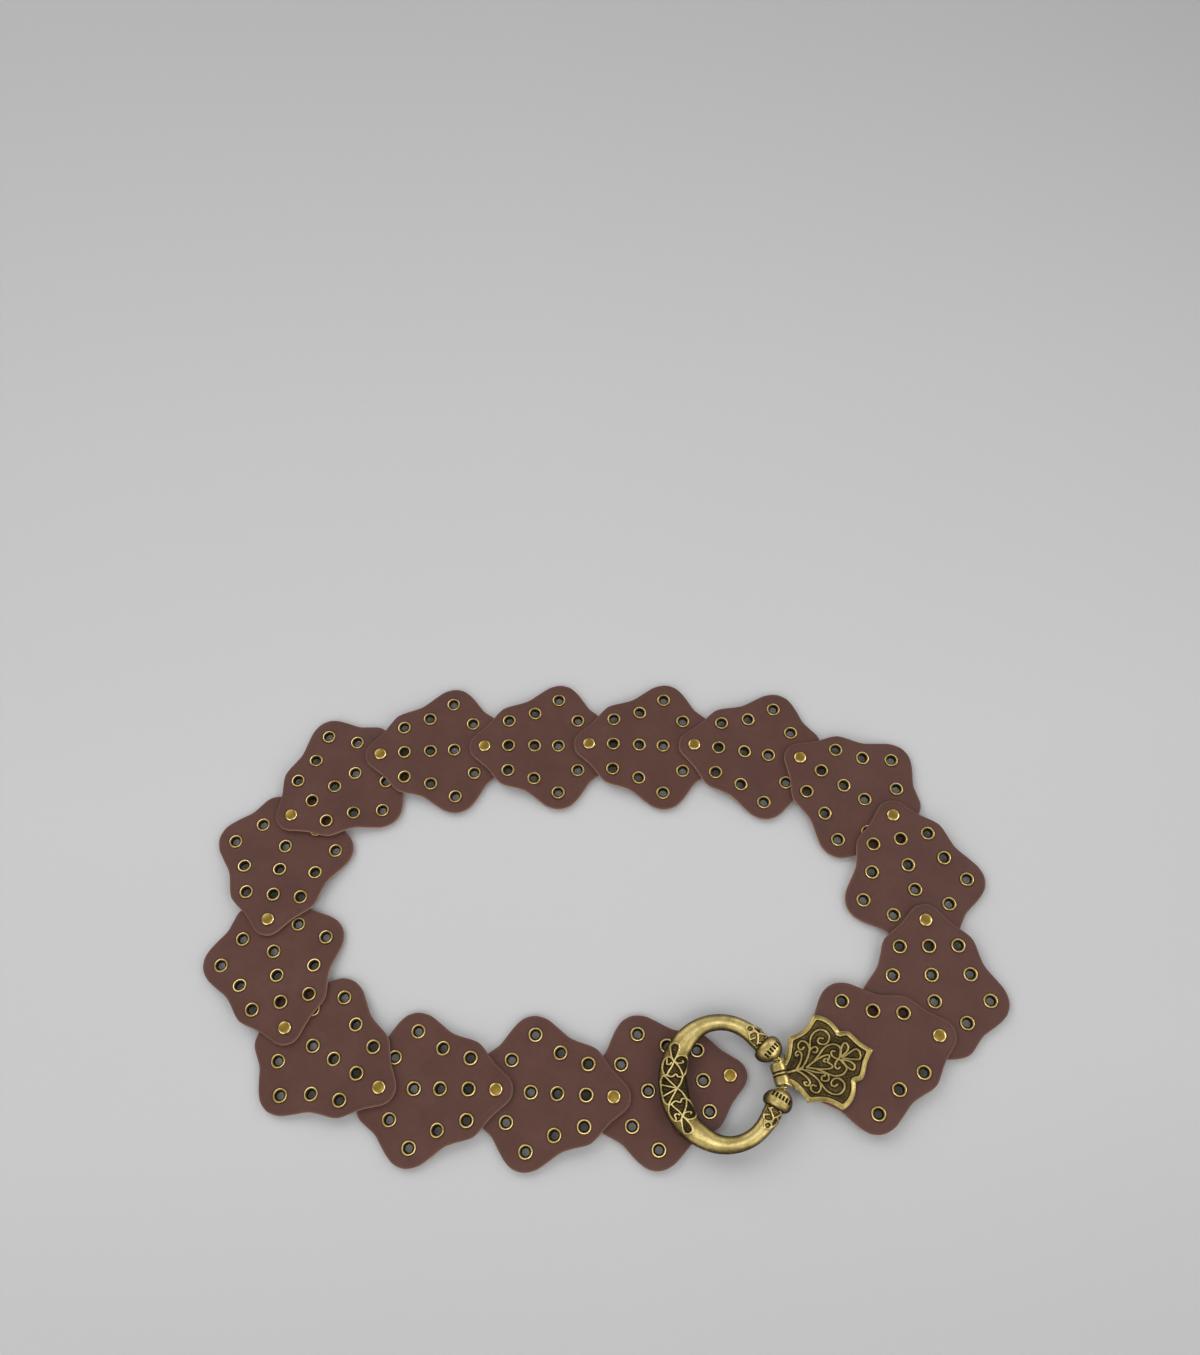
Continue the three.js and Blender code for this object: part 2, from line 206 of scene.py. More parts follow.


# Ring and shield plate: colour and roughness by tone, from recesses to buffed places and painted highlights
castBrassLook = {
    "cloud": (170.0, 0.42),  # scale and strength
    "pits": (1200.0, 0.24),
    "colours": [(0.12, (0.016, 0.012, 0.006)), (0.30, (0.074, 0.050, 0.019)),
                (0.52, (0.262, 0.202, 0.070)), (0.86, (0.74, 0.60, 0.275))],
    "roughness": [(0.15, 0.66), (0.40, 0.48), (0.60, 0.38)],
    "bump": (0.22, 0.00012),  # strength and depth
}


def makeCastBrass(look):
    material, tree, shader = newMaterial("antiqueCastBrass")
    height = addTarnish(tree, shader, look)
    addBump(tree, shader, height, look["bump"])
    return material


# Eyelets and rivets
stampedBrassLook = {
    "cloud": (500.0, 0.16),
    "pits": (2600.0, 0.14),
    "colours": [(0.15, (0.016, 0.012, 0.006)), (0.5, (0.262, 0.170, 0.034)), (0.9, (0.90, 0.75, 0.43))],
    "roughness": [(0.1, 0.75), (0.45, 0.36), (0.8, 0.24)],
}


def makeStampedBrass(look):
    material, tree, shader = newMaterial("stampedBrass")
    addTarnish(tree, shader, look)
    return material


leatherLook = {
    "colours": [(0.35, (0.066, 0.027, 0.020)), (0.68, (0.082, 0.035, 0.0265))],
    "roughness": [(0.3, 0.66), (0.7, 0.54)],
    "bump": (0.30, 0.00012),
    "specular": 0.15,
    "grainSize": 1150.0,
    "toneSize": 55.0,
    "edge": [  # what the cut edge's value shows: its mask and its colour
        ([(0.12, 1.0), (0.38, 0.0)], (0.048, 0.019, 0.014)),  # pressed groove
        ([(0.42, 0.0), (0.70, 0.9)], (0.105, 0.050, 0.038)),  # painted highlight along the rounded border
        ([(0.72, 0.0), (0.95, 1.0)], (0.33, 0.20, 0.13))],  # raw edge
}


# Fine pebbled grain with creases, for finished leather
def makeGrainGroup():
    group, given, result = newGroup("leatherGrain", ("Grain Size", "Tone Size"))
    pebbles = addNode(group, "ShaderNodeTexVoronoi", {
        "Vector": objectPlace(group), "Scale": given["Grain Size"]}, feature="F1").outputs["Distance"]
    creaseShare = 0.35
    creases = noiseNode(group, scale=260.0, detail=6.0, roughness=0.7)
    clouds = noiseNode(group, given["Tone Size"], detail=4.0, roughness=0.55)
    height = mathNode(group, "ADD", mathNode(group, "MULTIPLY", pebbles, 0.6), creases)
    tone = mathNode(group, "ADD", mathNode(group, "MULTIPLY", creases, creaseShare),
                    mathNode(group, "MULTIPLY", clouds, 1 - creaseShare))
    setInputs(group, result, {"Tone": tone, "Height": height})
    return group


grainGroup = makeGrainGroup()


def makeLeather(look):
    material, tree, shader = newMaterial("brownLeather")
    grain = addNode(tree, "ShaderNodeGroup", {
        "Grain Size": look["grainSize"], "Tone Size": look["toneSize"]}, node_tree=grainGroup).outputs
    edge = attributeValue(tree, "cutEdge")
    colour = ramp(tree, grain["Tone"], look["colours"])
    for mask, shade in look["edge"]:
        colour = mixColour(tree, ramp(tree, edge, mask), colour, (*shade, 1))
    setInputs(tree, shader, {
        "Base Color": colour,
        "Roughness": ramp(tree, grain["Tone"], look["roughness"]),
        "Specular IOR Level": look["specular"]})
    addBump(tree, shader, grain["Height"], look["bump"])
    return material


materials = {  # by slot
    "leather": makeLeather(leatherLook),
    "cast_brass": makeCastBrass(castBrassLook),
    "stamped_brass": makeStampedBrass(stampedBrassLook),
}
print("materials made")


# Mesh helpers

# Points along a smooth curve through the given ones, a few for each stretch
def smoothPoints(points, perSpan, closed=False):
    points = [Vector((*point, 0)) if len(point) == 2 else Vector(point) for point in points]
    count = len(points)
    spans = count if closed else count - 1
    smooth = []
    for i in range(spans):
        start, end = points[i], points[(i + 1) % count]
        before = points[i - 1] if closed or i else start
        after = points[(i + 2) % count] if closed or i + 2 < count else end
        way = geometry.interpolate_bezier(
            start, start + (end - before) / 6, end - (after - start) / 6, end, perSpan + 1)
        smooth += way[:-1]
    return smooth if closed else smooth + [points[-1]]


# New loop of vertices grown from an ordered loop, in the same order
def growLoop(bm, loop, spots):
    edges = [bm.edges.get((vert, loop[i - 1])) for i, vert in enumerate(loop)]
    made = bmesh.ops.extrude_edge_only(bm, edges=edges)["geom"]
    fresh = {item for item in made if isinstance(item, bmesh.types.BMVert)}
    grown = []
    for vert, spot in zip(loop, spots):
        twin = next(edge.other_vert(vert) for edge in vert.link_edges if edge.other_vert(vert) in fresh)
        twin.co = spot
        grown.append(twin)
    return grown


# Closed or open row of points, each (across, up), turned about the Z axis
def spinProfile(bm, profile, steps, closed):
    verts = [bm.verts.new((across, 0, up)) for across, up in profile]
    pairs = list(zip(verts, verts[1:])) + ([(verts[-1], verts[0])] if closed else [])
    edges = [bm.edges.new(pair) for pair in pairs]
    bmesh.ops.spin(bm, geom=verts + edges, cent=(0, 0, 0), axis=(0, 0, 1), dvec=(0, 0, 0),
                   angle=2 * math.pi, steps=steps, use_merge=True, use_duplicate=False)
    bmesh.ops.remove_doubles(bm, verts=bm.verts, dist=1e-4)
    bmesh.ops.recalc_face_normals(bm, faces=bm.faces)


def getCoordinates(bm):
    return np.array([vert.co for vert in bm.verts])


def setCoordinates(bm, places):
    for vert, place in zip(bm.verts, places):
        vert.co = place


# Value at each vertex that a material reads by name
def setTones(bm, name, tones):
    layer = bm.verts.layers.float.new(name)
    for vert, tone in zip(bm.verts, tones):
        vert[layer] = tone


# Spun piece of even tone
def plainTurning(profile, sides, tone):
    bm = bmesh.new()
    spinProfile(bm, profile, sides, closed=False)
    setTones(bm, "relief", np.full(len(bm.verts), tone))
    return bm


def closeShell(bm):
    bmesh.ops.holes_fill(bm, edges=[edge for edge in bm.edges if edge.is_boundary], sides=0)
    bmesh.ops.recalc_face_normals(bm, faces=bm.faces)


# New mesh from a finished bmesh, which is freed
def meshFrom(bm, name):
    mesh = bpy.data.meshes.new(name)
    bm.to_mesh(mesh)
    bm.free()
    return mesh


# Parts that belong to one piece, added to its bmesh
def addParts(bm, parts):
    for part in parts:
        mesh = meshFrom(part, "part")
        bm.from_mesh(mesh)
        bpy.data.meshes.remove(mesh)


# Object of a piece, placed in its mesh, with its body, slot and material; sharp is an angle in degrees
def finishPiece(name, bm, place, slot, replaced=(), sharp=None):
    bm.transform(Matrix.Scale(mm, 4) @ place)
    mesh = meshFrom(bm, name)
    mesh.shade_smooth()
    if sharp:
        mesh.set_sharp_from_angle(angle=math.radians(sharp))
    mesh.materials.append(materials[slot])
    piece = bpy.data.objects.new(name, mesh)
    bpy.context.collection.objects.link(piece)
    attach(piece, "root")
    if replaced:
        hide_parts(*replaced)


# Relief: how near each point is to the raised lines, and whether it lies in a sunken field

def lineDistance(points, lines):
    nearest = np.full(len(points), 1e3)
    for line in lines:
        for start, end in zip(line, line[1:]):
            way = end - start
            share = np.clip(((points - start) @ way) / max(way @ way, 1e-9), 0, 1)
            away = points - start - share[:, None] * way
            nearest = np.minimum(nearest, np.hypot(away[:, 0], away[:, 1]))
    return nearest


def insideField(points, field):
    inside = np.zeros(len(points), bool)
    x, y = points.T
    for (x1, y1), (x2, y2) in zip(field, np.roll(field, -1, axis=0)):
        crosses = (y1 > y) != (y2 > y)
        with np.errstate(divide="ignore", invalid="ignore"):
            inside ^= crosses & (x < (x2 - x1) * (y - y1) / (y2 - y1) + x1)
    return inside


def smoothStep(low, high, value):
    share = np.clip((value - low) / (high - low), 0, 1)
    return share * share * (3 - 2 * share)


# 1 in the middle of a band that fades to both sides
def bell(value, middle, fade):
    return np.exp(-((value - middle) / fade) ** 2)


def chartLine(points, closed=False, perSpan=4):
    line = [tuple(point.xy) for point in smoothPoints(points, perSpan, closed)]
    return np.array(line + line[:1] if closed else line)


# Value at each place along a smooth curve through a table of (place, value)
def smoothTable(places, table):
    return np.interp(places, *chartLine(table, perSpan=8).T)


def stipple(points, grain):
    return np.array([noise.noise(Vector((x / grain, y / grain, 0))) for x, y in points])


# Leather panels

panelForm = {
    "outline": [  # half outline from the tip to the wide end: along, half width
        (-8.4, 2.4), (-6.4, 6.0), (-3.0, 9.1), (2.0, 13.7), (8.0, 21.2), (12.0, 24.0), (20.0, 26.3),
        (25.0, 28.4), (32.0, 33.7), (37.0, 37.0), (43.0, 38.4), (48.5, 37.0), (52.5, 33.7),
        (56.0, 29.0), (60.0, 23.0), (64.0, 19.6), (68.8, 15.6), (70.9, 11.0), (71.5, 5.0)],
    "eyelets": [(13.9, 15.25), (28.6, 20.1), (42.4, 28.65)],
    "innerEyelets": [(13.9, 0), (28.6, 0), (42.3, 0), (53.5, 15.3)],
    "rivets": [(0, 0), (60, 0)],
    "platePosts": [(60, -12.2), (60, 9.8)],
    "border": [  # rounded edge with its pressed groove: inwards of the outline, height over the middle
        (2.6, 1.0), (2.1, 0.99), (1.75, 0.965), (1.45, 0.945), (1.2, 0.96), (0.95, 0.985), (0.7, 0.98),
        (0.42, 0.91), (0.2, 0.78), (0.05, 0.56), (0.0, 0.35), (0.0, 0.0)],
    "eyeletRings": [  # pressed seat round a hole: radius, height over the middle
        (5.4, 1.0), (5.1, 1.0), (4.75, 0.94), (4.4, 0.84), (4.05, 0.76), (2.75, 0.76), (2.75, 0.0)],
    "rivetRings": [
        (5.4, 1.0), (4.9, 1.0), (4.4, 0.94), (3.9, 0.84), (3.2, 0.80), (2.0, 0.80), (2.0, 0.0)],
    "holeSides": 32,
    "cuts": [  # lines that let the flat sheet bend: way across them, first, last and spacing
        ((1, 0, 0), -6, 70, 2.6), ((0, 1, 0), -36, 37, 6.0)],
    "outlinePoints": 5,  # to each stretch
    "paintedEdgeHighlight": (0.6, 0.4, 0.2),  # painted highlight of the rounded edge: inwards of the outline, how far it fades and how strong it is
    "groove": (1.45, 0.3, 0.16),
    "grooveEnd": (4, 14),  # the groove fades out between these, along the panel
    "rawEdge": (0.95, 0.45, 0.3),  # raw below the first height, fully so below the second, and this far in
    "plainTone": 0.4,
    "bend": (16.0, 40.0),  # the step from high to low along the panel
    "lateBend": (12.0, 34.0),  # on the panel that the buckle panel crosses
    "sway": (22, 0.22, 3.7),  # size and height of the leather's unevenness, and its step to the next panel
}


def loopNormals(points):
    ways = [after - before for before, after in zip(points[-1:] + points, points[1:] + points[:1])]
    return [Vector((way.y, -way.x, 0)).normalized() for way in ways]


# Upper half of a flat panel: rounded border and pressed hole seats round a filled middle
def pressedFace(form, outline, holes):
    bm = bmesh.new()
    up = Vector((0, 0, 1))
    outwards = loopNormals(outline)
    borders = [[spot - inwards * way + height * up for spot, way in zip(outline, outwards)]
               for inwards, height in form["border"]]
    loop = list(bmesh.ops.create_circle(bm, segments=len(outline), radius=1)["verts"])
    for vert, spot in zip(loop, borders[0]):
        vert.co = spot
    rings = []
    for along, aside, rows in holes:
        middle = Vector((along, aside, 0))
        radius, height = rows[0]
        ring = bmesh.ops.create_circle(bm, segments=form["holeSides"], radius=radius,
                                       matrix=Matrix.Translation(middle + height * up))["verts"]
        rings.append((middle, list(ring), rows[1:]))
    bmesh.ops.triangle_fill(bm, edges=bm.edges, use_beauty=True)

    for spots in borders[1:]:
        loop = growLoop(bm, loop, spots)
    for middle, ring, rows in rings:
        ways = [(vert.co - middle).xy.normalized().to_3d() for vert in ring]
        for radius, height in rows:
            ring = growLoop(bm, ring, [middle + radius * way + height * up for way in ways])
    return bm


# Where the leather has a painted highlight on its rounded edge, is pressed or is cut raw
def edgeTones(form, bm, outline):
    places = getCoordinates(bm)
    fromEdge = lineDistance(places[:, :2], [np.array([point.xy for point in outline + outline[:1]])])
    # Painted highlight along the rounded edge
    middle, fade, strength = form["paintedEdgeHighlight"]
    paintedEdgeHighlight = strength * bell(fromEdge, middle, fade)
    middle, fade, strength = form["groove"]
    first, last = form["grooveEnd"]
    groove = strength * bell(fromEdge, middle, fade) * np.clip((last - places[:, 0]) / (last - first), 0, 1)
    top, bottom, reach = form["rawEdge"]
    raw = np.clip((top - places[:, 2]) / (top - bottom), 0, 1) * (fromEdge < reach)
    plain = form["plainTone"]
    return plain + (1 - plain) * raw + (paintedEdgeHighlight - groove) * (1 - raw)


# Panel before it is bent, as a mesh about its middle plane
def panelSheet(form, eyelets, rivets):
    half = form["outline"]
    corners = [(x, -y) for x, y in half] + half[::-1]
    outline = smoothPoints(corners, form["outlinePoints"], closed=True)
    holes = [(*spot, form["eyeletRings"]) for spot in eyelets]
    holes += [(*spot, form["rivetRings"]) for spot in rivets]
    bm = pressedFace(form, outline, holes)
    for facing, first, last, spacing in form["cuts"]:
        for spot in np.arange(first, last, spacing):
            bmesh.ops.bisect_plane(bm, geom=bm.verts[:] + bm.edges[:] + bm.faces[:], dist=0.01,
                                   plane_co=Vector(facing) * spot, plane_no=facing)
    bmesh.ops.mirror(bm, geom=bm.verts[:] + bm.edges[:] + bm.faces[:], axis="Z", merge_dist=0.001)
    bmesh.ops.recalc_face_normals(bm, faces=bm.faces)
    setTones(bm, "cutEdge", edgeTones(form, bm, outline))
    return meshFrom(bm, "panelSheet")


# Middles of a panel's eyelet holes, and of the holes for rivets and posts
def panelHoles(form, isBuckle):
    rows = form["eyelets"] + ([] if isBuckle else form["innerEyelets"])
    eyelets = [(along, side * aside) for along, aside in rows for side in ((-1, 1) if aside else (1,))]
    rivets = form["rivets"][:1] + form["platePosts"] if isBuckle else form["rivets"]
    return eyelets, rivets


# Height of a panel's middle plane along it, and its slope there
def panelRise(number):
    tip = levels["high" if number else "low"]
    end = levels["high" if number == buckle else "low"]
    start, stop = panelForm["lateBend" if number + 1 == buckle else "bend"]

    def rise(along):
        share = min(1, max(0, (along - start) / (stop - start)))
        level = tip + (end - tip) * share * share * (3 - 2 * share)
        slope = (end - tip) * 6 * share * (1 - share) / (stop - start)
        return level + levels["leather"] / 2, slope
    return rise


# Bent over its step, with the leather's unevenness
def makePanel(number, sheet):
    rise = panelRise(number)
    size, tall, step = panelForm["sway"]
    bm = bmesh.new()
    bm.from_mesh(sheet)
    for vert in bm.verts:
        x, y, z = vert.co
        level, slope = rise(x)
        sway = noise.noise(Vector((x / size, y / size, number * step))) * tall
        vert.co = (x - slope * z, y, level + z + sway)
    finishPiece("leather_" + letters[number], bm, panelPlace(number), "leather",
                ["panel_" + letters[number]])


eyeletForm = {
    "profile": [  # closed section: from the axis, over the leather's pressed surface
        (3.72, -0.02), (3.84, 0.14), (3.80, 0.34), (3.62, 0.53), (3.30, 0.64), (2.96, 0.60),
        (2.60, 0.42), (2.28, 0.12), (2.07, -0.25), (1.98, -0.60), (1.98, -1.50), (2.06, -1.82),
        (2.40, -1.98), (3.40, -1.98), (3.45, -1.80), (2.45, -1.72), (2.38, -0.16)],
    "seat": 0.76,  # the pressed leather, over the panel's middle plane
    "crest": (3.28, 0.34),  # radius of the painted highlight on the crest and how far it fades
    "tones": (0.10, 0.66),  # of the flange, and the painted highlight that the crest adds
    "sides": 28,
    "tilt": 1.6,  # degrees that a setting may lean
    "turn": 6.28,  # and how far round it may sit, in radians
}


def eyeletTemplate(form):
    bm = bmesh.new()
    spinProfile(bm, form["profile"], form["sides"], closed=True)
    places = getCoordinates(bm)
    plain, bright = form["tones"]
    crest = bell(np.hypot(places[:, 0], places[:, 1]), *form["crest"])
    # Painted highlight on the crest, with its slopes left dark; painted shade, tone 0, on the barrel and all
    # below the flange's top
    setTones(bm, "relief", (plain + bright * crest) * (places[:, 2] > 0))
    return meshFrom(bm, "eyelet")


# One mesh of all the eyelets of a panel, each leaning and turned a little differently
def makeEyelets(number, template, spots):
    rise = panelRise(number)
    bm = bmesh.new()
    for along, aside in spots:
        level, slope = rise(along)
        start = len(bm.verts)
        bm.from_mesh(template)
        bm.verts.ensure_lookup_table()
        lean = [math.radians(random.uniform(-1, 1) * eyeletForm["tilt"]) for axis in "XY"]
        pose = (Matrix.Translation((along, aside, level + eyeletForm["seat"]))
                @ Matrix.Rotation(-math.atan(slope) + lean[1], 4, "Y")
                @ Matrix.Rotation(lean[0], 4, "X")
                @ Matrix.Rotation(random.uniform(0, eyeletForm["turn"]), 4, "Z"))
        bmesh.ops.transform(bm, matrix=pose, verts=bm.verts[start:])
    finishPiece("eyelets_" + letters[number], bm, panelPlace(number), "stamped_brass")


rivetForm = {
    "cap": [(0.0, 1.20), (1.0, 1.18), (1.9, 1.12), (2.5, 1.02), (2.95, 0.86), (3.25, 0.64), (3.42, 0.38),
            (3.48, 0.14), (3.40, -0.02), (3.2, -0.05), (1.5, -0.05)],  # dome, over the pressed leather
    "back": [(1.5, 0.6), (3.3, 0.6), (3.5, 0.45), (3.4, 0.1), (3.1, 0.0), (0.0, 0.0)],
    "seat": 0.80,  # the pressed leather, over the panel's middle plane
    "tones": [(2.8, 0.40), (3.35, 0.62), (9.0, 0.10)],  # dome; painted highlight on the rim; painted shade at the foot; each up to a radius
    "sides": 40,
}


def makeRivet(number):
    bm = bmesh.new()
    seat = panelRise(number)(0)[0] + rivetForm["seat"]
    profile = [(r, seat + z) for r, z in rivetForm["cap"]] + rivetForm["back"]
    spinProfile(bm, profile, rivetForm["sides"], closed=False)
    # Painted highlight on the rim and painted shade at the foot, by radius
    setTones(bm, "relief", [
        next(tone for reach, tone in rivetForm["tones"] if vert.co.xy.length < reach) for vert in bm.verts])
    finishPiece("rivetHead_" + letters[number], bm, panelPlace(number), "stamped_brass",
                ["rivet_" + letters[number]])


def makeStrap():
    kinds = [panelHoles(panelForm, isBuckle) for isBuckle in (False, True)]
    sheets = [panelSheet(panelForm, *holes) for holes in kinds]
    template = eyeletTemplate(eyeletForm)
    for number in range(len(letters)):
        kind = number == buckle  # the buckle panel has a sheet of its own
        makePanel(number, sheets[kind])
        makeEyelets(number, template, kinds[kind][0])
        makeRivet(number)
    for mesh in sheets + [template]:
        bpy.data.meshes.remove(mesh)


makeStrap()
print("strap made:", len(letters), "panels")


# Shield plate

plateForm = {
    "aside": -1.2,  # its middle line on the buckle panel
    "centre": (60.0, 0.0),
    "outline": [  # half outline in stretches between corners: along, half width
        [(35.0, 0), (38.0, 2.8), (40.6, 6.0), (43.2, 10.4), (45.0, 12.2), (48.7, 12.8)],
        [(48.7, 12.8), (49.2, 14.6), (51.4, 19.0), (55.0, 22.3), (59.2, 24.1)],
        [(59.2, 24.1), (63.0, 20.4), (67.2, 17.9), (74.9, 16.3)],
        [(74.9, 16.3), (76.6, 12.0), (78.8, 7.8), (80.8, 5.6)]],
    "spokeSpacing": 0.265,
    "rings": 148,
    "cornerRound": 2,  # spokes to each side that an outline corner is rounded over
    "rim": [  # inwards of the edge, height over the underside
        (0.0, 0.75), (0.12, 1.05), (0.4, 1.34), (0.9, 1.70), (1.4, 1.98), (1.8, 2.14), (2.1, 2.16),
        (2.35, 1.9), (2.55, 1.45), (2.7, 1.24), (2.9, 1.2)],
    "edgeBlend": 0.3,  # over which two stretches of the outline meet
    "line": (0.12, 0.80),  # half width of a raised line at its top and at its foot
    "lineHeight": 0.56,
    "ground": 1.2,
    "groundStart": (2.5, 2.9),  # inwards of the edge
    "grain": (0.40, 0.09),  # size and height of the stippled ground
    "tickBand": (2.9, 3.9, 0.2, 0.3),  # from and to, inwards of the edge, and how it fades there
    "ticks": (0.85, 0.2, 0.10),  # spacing, widening and height
    "rimEnd": (2.25, 2.6),  # where the rim's bright tone fades out, inwards of the edge
    "rimCrest": (2.1, 0.22),  # middle and fade of the bands that are toned on their own
    "rimFoot": (2.75, 0.15),
    "lineFoot": (0.84, 0.28),
    "tones": {"ground": 0.215, "ridge": 0.29, "grain": 0.20, "tick": 0.09, "foot": -0.14, "rim": 0.26,
              "crest": 0.13},
}

# Raised lines of the plate, each as places along and aside of its middle line
plateLines = {
    "stem": [(88.2, 0), (82, 0.05), (76.5, 0.1), (72.4, 0.4)],
    "bigScroll": [
        (72.4, 0.5), (69.4, 3.2), (66.9, 6.6), (65.4, 10.3), (63.9, 13.4), (61.4, 15.6), (58.2, 16.2),
        (55.4, 14.6), (54.6, 11.9), (55.8, 9.5), (58.2, 8.6), (60.4, 9.6), (60.9, 11.2), (59.6, 12.2),
        (58.0, 11.6)],
    "secondScroll": [
        (66.4, 7.6), (66.2, 10.0), (67.1, 12.1), (69.2, 13.0), (71.2, 11.6), (71.4, 9.8), (70.0, 8.9),
        (68.6, 9.8)],
    "thirdScroll": [
        (75.6, 0.3), (73.1, 2.6), (71.3, 5.4), (71.0, 7.6), (72.3, 8.7), (73.8, 7.8), (73.6, 6.6),
        (72.5, 6.9)],
    "heart": [
        (65.4, 2.2), (62.2, 4.5), (58.6, 7.1), (55.0, 7.8), (52.5, 7.0), (51.1, 5.3), (51.7, 2.7),
        (53.4, 0.2), (55.5, 1.4), (56.4, 3.2), (55.4, 4.5), (54.1, 4.0)],
    "leaf": [(70.4, 0), (65.4, 2.0), (60.4, 3.3), (57.8, 3.1), (57.8, 1.8), (59.4, 0)],
    "leafHook": [(58.3, 1.2), (60.1, 1.7), (61.1, 0.9), (60.4, 0.2)],
    "hook": [(66.9, 7.0), (65.0, 8.3), (62.9, 8.6), (62.2, 7.1), (63.6, 5.8), (64.8, 6.4)],
    "farHook": [
        (70.6, 1.0), (66.8, 3.3), (63.4, 4.6), (61.1, 5.9), (61.4, 8.3), (63.0, 8.7), (64.8, 7.8),
        (64.6, 6.4)],
    "farCurl": [(62.2, 5.2), (62.9, 6.2), (63.9, 5.9)],
    "middlePetal": [(51.2, 0.2), (46.8, 1.8), (43.6, 2.6), (42.3, 1.4), (42.2, 0)],
    "sidePetal": [
        (52.2, 0.7), (48.6, 2.3), (46.9, 4.3), (47.1, 6.2), (48.3, 6.8), (50.0, 5.4), (51.4, 2.8),
        (52.2, 0.7)],
}
bothSides = (-1, 1)
oneSided = {"leafHook": (-1,), "hook": (-1,), "farHook": (1,), "farCurl": (1,)}  # the other lines are on both


# Distance of each point from the plate's outline
def plateEdgeDistance(points):
    stretches = [chartLine(stretch, perSpan=6) for stretch in plateForm["outline"]]
    away = np.array([
        lineDistance(points, [stretch * (1, side)]) for stretch in stretches for side in bothSides])
    blend = plateForm["edgeBlend"]
    return -blend * np.log(np.exp(-away / blend).sum(axis=0))


# Band of short ticks that follows the rim, and their height
def plateTicks(fromEdge, run):
    first, last, start, end = plateForm["tickBand"]
    spacing, wider, tall = plateForm["ticks"]
    inBand = smoothStep(first - start, first, fromEdge) * (1 - smoothStep(last - end, last, fromEdge))
    return inBand * np.clip(np.cos(run * 2 * math.pi / spacing) + wider, 0, 1), tall


# Height over the underside, and tone, of the plate's face
def plateRelief(points, run):
    form, tones = plateForm, plateForm["tones"]
    fromEdge = plateEdgeDistance(points)
    fromLine = lineDistance(points, [
        chartLine(line) * (1, side)
        for name, line in plateLines.items() for side in oneSided.get(name, bothSides)])
    ridge = 1 - smoothStep(*form["line"], fromLine)
    size, rough = form["grain"]
    grain = stipple(points, size) * (1 - ridge) * smoothStep(*form["groundStart"], fromEdge)
    ticks, tall = plateTicks(fromEdge, run)
    ticks *= 1 - ridge
    ground = form["ground"] + form["lineHeight"] * ridge + rough * grain + tall * ticks
    height = np.maximum(smoothTable(fromEdge, form["rim"]), ground)
    onRim = (1 - smoothStep(*form["rimEnd"], fromEdge)) * (1 - ridge)
    foot = bell(fromLine, *form["lineFoot"]) + bell(fromEdge, *form["rimFoot"])
    tone = tones["ground"] + tones["ridge"] * ridge + tones["grain"] * grain + tones["tick"] * ticks
    tone += tones["foot"] * foot
    tone += (tones["rim"] + tones["crest"] * bell(fromEdge, *form["rimCrest"])) * onRim
    return height, np.clip(tone, 0, 1)


# Outline of the plate at even spacing, corner to corner, all the way round
def plateRound():
    half = []
    for stretch in plateForm["outline"]:
        line = chartLine(stretch, perSpan=12)
        run = np.concatenate([[0], np.cumsum(np.hypot(*np.diff(line, axis=0).T))])
        count = max(2, round(run[-1] / plateForm["spokeSpacing"]))
        at = np.linspace(0, run[-1], count + 1)[:-1]
        half += [(np.interp(s, run, line[:, 0]), np.interp(s, run, line[:, 1])) for s in at]
    end = plateForm["outline"][-1][-1]
    steps = round(2 * end[1] / plateForm["spokeSpacing"])
    across = [(end[0], end[1] * (1 - 2 * i / steps)) for i in range(steps)]
    mirrored = [(end[0], -end[1])] + [(x, -y) for x, y in reversed(half[1:])]
    around = np.array(half + across + mirrored)
    reach = plateForm["cornerRound"]
    return np.mean([np.roll(around, shift, axis=0) for shift in range(-reach, reach + 1)], axis=0)


# Face of the plate as spokes and rings, with its walls and its flat underside
def makePlateDisc(bm):
    form = plateForm
    around = plateRound()
    bmesh.ops.create_grid(bm, x_segments=len(around), y_segments=form["rings"], size=0.5)
    share, outwards = getCoordinates(bm)[:, :2].T + 0.5
    spoke = np.round(share * len(around)).astype(int) % len(around)
    centre = np.array(form["centre"])
    points = centre + outwards[:, None] * (around[spoke] - centre)
    height, tones = plateRelief(points, spoke * form["spokeSpacing"])
    setCoordinates(bm, np.column_stack([points, height + levels["cast"]]))
    setTones(bm, "relief", tones)
    bmesh.ops.remove_doubles(bm, verts=bm.verts, dist=5e-4)
    border = [edge for edge in bm.edges if edge.is_boundary]
    walls = bmesh.ops.extrude_edge_only(bm, edges=border)["geom"]
    foot = [item for item in walls if isinstance(item, bmesh.types.BMVert)]
    for vert in foot:
        vert.co.z = levels["cast"]
    closeShell(bm)


